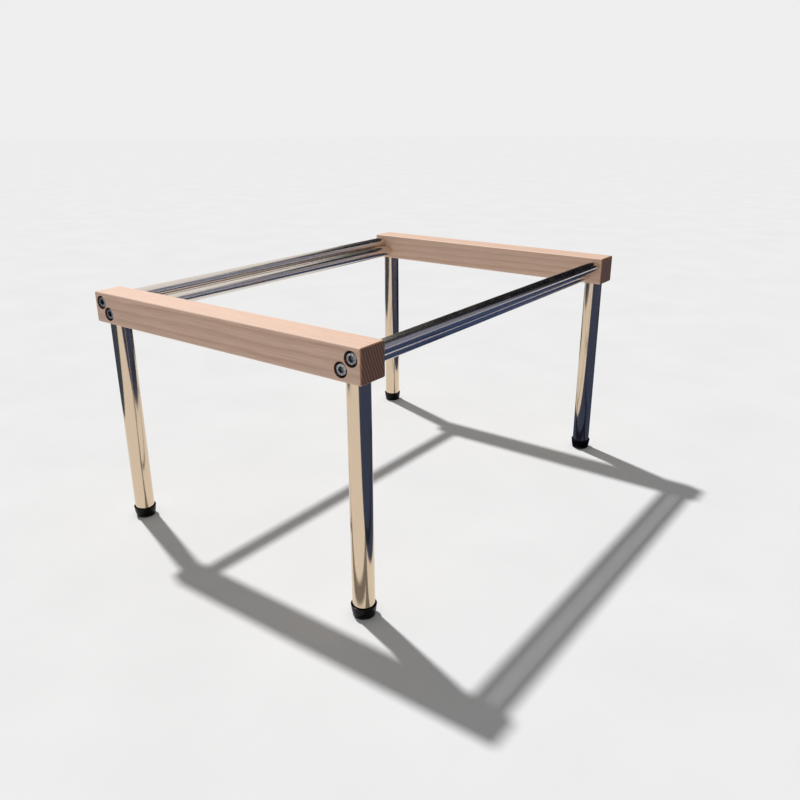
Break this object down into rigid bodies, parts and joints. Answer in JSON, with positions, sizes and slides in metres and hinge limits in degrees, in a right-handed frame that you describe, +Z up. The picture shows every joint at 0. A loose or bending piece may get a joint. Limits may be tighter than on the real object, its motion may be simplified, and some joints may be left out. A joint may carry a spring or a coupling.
{
  "type": "camping table frame",
  "caption": "Low open camping table frame: square wooden end beams joined by paired steel rails, on screw-in steel legs with rubber levelling feet.",
  "frame": {"origin": "on the floor under the middle of the table", "axes": "+X along the beams, +Y along the rails from the front beam to the rear one, +Z up"},
  "size_m": [0.405, 0.575, 0.298],
  "materials": {
    "wood": "planed, satin",
    "stainless": "polished stainless tube",
    "plated_steel": "bright zinc plate",
    "rubber": "smooth, moulded"
  },
  "bodies": {
    "frame": {"beam_front": "wood", "beam_rear": "wood", "rail_left_upper": "stainless", "rail_left_lower": "stainless", "rail_right_upper": "stainless", "rail_right_lower": "stainless", "rail_plug_front_left_upper": "plated_steel", "rail_screw_front_left_upper": "plated_steel", "screw_washer_front_left_upper": "plated_steel", "rail_plug_front_left_lower": "plated_steel", "rail_screw_front_left_lower": "plated_steel", "screw_washer_front_left_lower": "plated_steel", "leg_socket_front_left": "plated_steel", "rail_plug_front_right_upper": "plated_steel", "rail_screw_front_right_upper": "plated_steel", "screw_washer_front_right_upper": "plated_steel", "rail_plug_front_right_lower": "plated_steel", "rail_screw_front_right_lower": "plated_steel", "screw_washer_front_right_lower": "plated_steel", "leg_socket_front_right": "plated_steel", "rail_plug_rear_left_upper": "plated_steel", "rail_screw_rear_left_upper": "plated_steel", "screw_washer_rear_left_upper": "plated_steel", "rail_plug_rear_left_lower": "plated_steel", "rail_screw_rear_left_lower": "plated_steel", "screw_washer_rear_left_lower": "plated_steel", "leg_socket_rear_left": "plated_steel", "rail_plug_rear_right_upper": "plated_steel", "rail_screw_rear_right_upper": "plated_steel", "screw_washer_rear_right_upper": "plated_steel", "rail_plug_rear_right_lower": "plated_steel", "rail_screw_rear_right_lower": "plated_steel", "screw_washer_rear_right_lower": "plated_steel", "leg_socket_rear_right": "plated_steel"},
    "leg_travel_front_left": {"leg_stud_front_left": "plated_steel"},
    "leg_front_left": {"leg_tube_front_left": "stainless", "leg_plug_front_left": "plated_steel", "foot_nut_front_left": "plated_steel"},
    "foot_travel_front_left": {"foot_stud_front_left": "plated_steel"},
    "foot_front_left": {"foot_cup_front_left": "rubber"},
    "leg_travel_front_right": {"leg_stud_front_right": "plated_steel"},
    "leg_front_right": {"leg_tube_front_right": "stainless", "leg_plug_front_right": "plated_steel", "foot_nut_front_right": "plated_steel"},
    "foot_travel_front_right": {"foot_stud_front_right": "plated_steel"},
    "foot_front_right": {"foot_cup_front_right": "rubber"},
    "leg_travel_rear_left": {"leg_stud_rear_left": "plated_steel"},
    "leg_rear_left": {"leg_tube_rear_left": "stainless", "leg_plug_rear_left": "plated_steel", "foot_nut_rear_left": "plated_steel"},
    "foot_travel_rear_left": {"foot_stud_rear_left": "plated_steel"},
    "foot_rear_left": {"foot_cup_rear_left": "rubber"},
    "leg_travel_rear_right": {"leg_stud_rear_right": "plated_steel"},
    "leg_rear_right": {"leg_tube_rear_right": "stainless", "leg_plug_rear_right": "plated_steel", "foot_nut_rear_right": "plated_steel"},
    "foot_travel_rear_right": {"foot_stud_rear_right": "plated_steel"},
    "foot_rear_right": {"foot_cup_rear_right": "rubber"}
  },
  "joints": [
    {"name": "leg_drop_front_left", "type": "slide", "parent": "frame", "child": "leg_travel_front_left", "axis": [0, 0, 1], "range_m": [-0.00625, 0]},
    {"name": "leg_turn_front_left", "type": "hinge", "parent": "leg_travel_front_left", "child": "leg_front_left", "pos_m": [-0.18425, -0.26925, 0.2615], "axis": [0, 0, 1], "range_deg": [-1800, 0]},
    {"name": "foot_drop_front_left", "type": "slide", "parent": "leg_front_left", "child": "foot_travel_front_left", "axis": [0, 0, 1], "range_m": [-0.005, 0]},
    {"name": "foot_turn_front_left", "type": "hinge", "parent": "foot_travel_front_left", "child": "foot_front_left", "pos_m": [-0.18425, -0.26925, 0], "axis": [0, 0, 1], "range_deg": [-1440, 0]},
    {"name": "leg_drop_front_right", "type": "slide", "parent": "frame", "child": "leg_travel_front_right", "axis": [0, 0, 1], "range_m": [-0.00625, 0]},
    {"name": "leg_turn_front_right", "type": "hinge", "parent": "leg_travel_front_right", "child": "leg_front_right", "pos_m": [0.18425, -0.26925, 0.2615], "axis": [0, 0, 1], "range_deg": [-1800, 0]},
    {"name": "foot_drop_front_right", "type": "slide", "parent": "leg_front_right", "child": "foot_travel_front_right", "axis": [0, 0, 1], "range_m": [-0.005, 0]},
    {"name": "foot_turn_front_right", "type": "hinge", "parent": "foot_travel_front_right", "child": "foot_front_right", "pos_m": [0.18425, -0.26925, 0], "axis": [0, 0, 1], "range_deg": [-1440, 0]},
    {"name": "leg_drop_rear_left", "type": "slide", "parent": "frame", "child": "leg_travel_rear_left", "axis": [0, 0, 1], "range_m": [-0.00625, 0]},
    {"name": "leg_turn_rear_left", "type": "hinge", "parent": "leg_travel_rear_left", "child": "leg_rear_left", "pos_m": [-0.18425, 0.26925, 0.2615], "axis": [0, 0, 1], "range_deg": [-1800, 0]},
    {"name": "foot_drop_rear_left", "type": "slide", "parent": "leg_rear_left", "child": "foot_travel_rear_left", "axis": [0, 0, 1], "range_m": [-0.005, 0]},
    {"name": "foot_turn_rear_left", "type": "hinge", "parent": "foot_travel_rear_left", "child": "foot_rear_left", "pos_m": [-0.18425, 0.26925, 0], "axis": [0, 0, 1], "range_deg": [-1440, 0]},
    {"name": "leg_drop_rear_right", "type": "slide", "parent": "frame", "child": "leg_travel_rear_right", "axis": [0, 0, 1], "range_m": [-0.00625, 0]},
    {"name": "leg_turn_rear_right", "type": "hinge", "parent": "leg_travel_rear_right", "child": "leg_rear_right", "pos_m": [0.18425, 0.26925, 0.2615], "axis": [0, 0, 1], "range_deg": [-1800, 0]},
    {"name": "foot_drop_rear_right", "type": "slide", "parent": "leg_rear_right", "child": "foot_travel_rear_right", "axis": [0, 0, 1], "range_m": [-0.005, 0]},
    {"name": "foot_turn_rear_right", "type": "hinge", "parent": "foot_travel_rear_right", "child": "foot_rear_right", "pos_m": [0.18425, 0.26925, 0], "axis": [0, 0, 1], "range_deg": [-1440, 0]}
  ],
  "couplings": [
    {"joint": "leg_drop_front_left", "follows": "leg_turn_front_left", "m_per_rad": 0.00019894},
    {"joint": "foot_drop_front_left", "follows": "foot_turn_front_left", "m_per_rad": 0.00019894},
    {"joint": "leg_drop_front_right", "follows": "leg_turn_front_right", "m_per_rad": 0.00019894},
    {"joint": "foot_drop_front_right", "follows": "foot_turn_front_right", "m_per_rad": 0.00019894},
    {"joint": "leg_drop_rear_left", "follows": "leg_turn_rear_left", "m_per_rad": 0.00019894},
    {"joint": "foot_drop_rear_left", "follows": "foot_turn_rear_left", "m_per_rad": 0.00019894},
    {"joint": "leg_drop_rear_right", "follows": "leg_turn_rear_right", "m_per_rad": 0.00019894},
    {"joint": "foot_drop_rear_right", "follows": "foot_turn_rear_right", "m_per_rad": 0.00019894}
  ]
}
